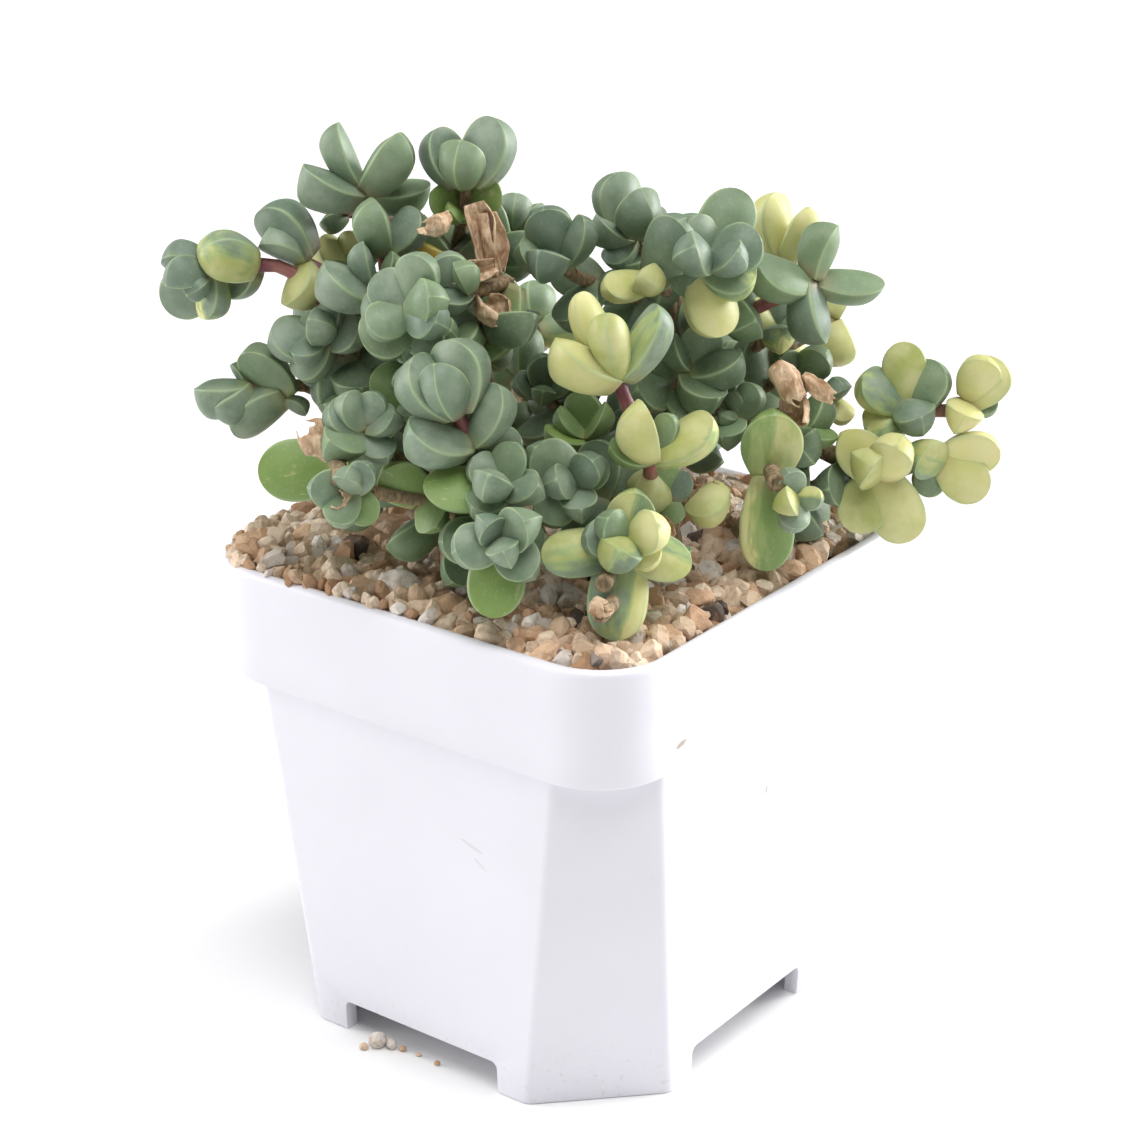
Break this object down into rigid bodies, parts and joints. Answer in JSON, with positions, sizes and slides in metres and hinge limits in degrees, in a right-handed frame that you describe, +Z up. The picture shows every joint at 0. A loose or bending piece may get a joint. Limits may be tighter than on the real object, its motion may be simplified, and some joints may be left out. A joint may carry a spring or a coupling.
{
  "type": "potted succulent plant",
  "caption": "Bushy trailing succulent with plump keeled grey-green and yellow leaves in a tapered square white pot topped with tan grit.",
  "frame": {"origin": "bottom centre of the whole object's bounding box, on the plane of the pot's feet", "axes": "+Z up along the pot; the pot's walls face +X, -X, +Y and -Y; the best side is towards +X and -Y"},
  "size_m": [0.1022, 0.1008, 0.1415],
  "materials": {
    "pot_plastic": "white, slightly translucent moulded plastic, satin",
    "potting_mix": "dark crumbly potting mix",
    "grit": "matte tan and orange-brown grit with grey, white and black bits",
    "stem_bark": "tan woody bark, purple-red on young stems",
    "leaf_grey_green": "waxy grey-green leaf with paler ridge lines",
    "leaf_shaded_green": "waxy dark green leaf with paler ridge lines",
    "leaf_yellow": "waxy pale yellow leaf",
    "leaf_half_yellow": "waxy leaf, part green and part yellow",
    "leaf_olive": "waxy olive green older leaf",
    "leaf_bright_green": "waxy bright green older leaf"
  },
  "bodies": {
    "root": {"grit_layer": "grit", "leaves_back_left": "leaf_grey_green", "leaves_back_low_right": "leaf_half_yellow", "leaves_back_middle": "leaf_grey_green", "leaves_back_right": "leaf_grey_green", "leaves_back_upper_left": "leaf_grey_green", "leaves_behind_crown": "leaf_grey_green", "leaves_branch_base": "leaf_yellow", "leaves_branch_low": "leaf_yellow", "leaves_branch_middle": "leaf_grey_green", "leaves_branch_tip": "leaf_yellow", "leaves_crown": "leaf_bright_green", "leaves_crumpled": "leaf_grey_green", "leaves_dark_pair": "leaf_shaded_green", "leaves_dark_wedges": "leaf_shaded_green", "leaves_front": "leaf_half_yellow", "leaves_front_left": "leaf_grey_green", "leaves_front_upper": "leaf_grey_green", "leaves_grey_round": "leaf_grey_green", "leaves_hollow": "leaf_shaded_green", "leaves_left_cluster": "leaf_grey_green", "leaves_left_inner": "leaf_yellow", "leaves_left_low": "leaf_grey_green", "leaves_left_of_front": "leaf_grey_green", "leaves_left_pair": "leaf_grey_green", "leaves_left_tip": "leaf_grey_green", "leaves_left_upper": "leaf_grey_green", "leaves_lime_low": "leaf_olive", "leaves_low_front": "leaf_grey_green", "leaves_low_left": "leaf_grey_green", "leaves_low_left_old": "leaf_olive", "leaves_mid_right": "leaf_grey_green", "leaves_mid_rosette": "leaf_grey_green", "leaves_mottled": "leaf_grey_green", "leaves_old_yellow": "leaf_shaded_green", "leaves_olive_behind": "leaf_olive", "leaves_olive_right": "leaf_olive", "leaves_ribbed": "leaf_grey_green", "leaves_right_cross": "leaf_grey_green", "leaves_round_pair": "leaf_grey_green", "leaves_scarred_pair": "leaf_bright_green", "leaves_small_dark": "leaf_grey_green", "leaves_striped_bud": "leaf_grey_green", "leaves_top_left_of_middle": "leaf_grey_green", "leaves_top_middle": "leaf_grey_green", "leaves_top_right": "leaf_grey_green", "leaves_upper_left": "leaf_grey_green", "leaves_yellow_behind": "leaf_yellow", "leaves_yellow_centre": "leaf_grey_green", "leaves_yellow_fork": "leaf_yellow", "leaves_yellow_round": "leaf_yellow", "pot": "pot_plastic", "potting_mix": "potting_mix", "stem_far_right": "stem_bark", "stem_front_left": "stem_bark", "stem_front_right": "stem_bark", "stem_left": "stem_bark", "stem_right": "stem_bark", "stem_upper_left": "stem_bark"}
  },
  "joints": []
}
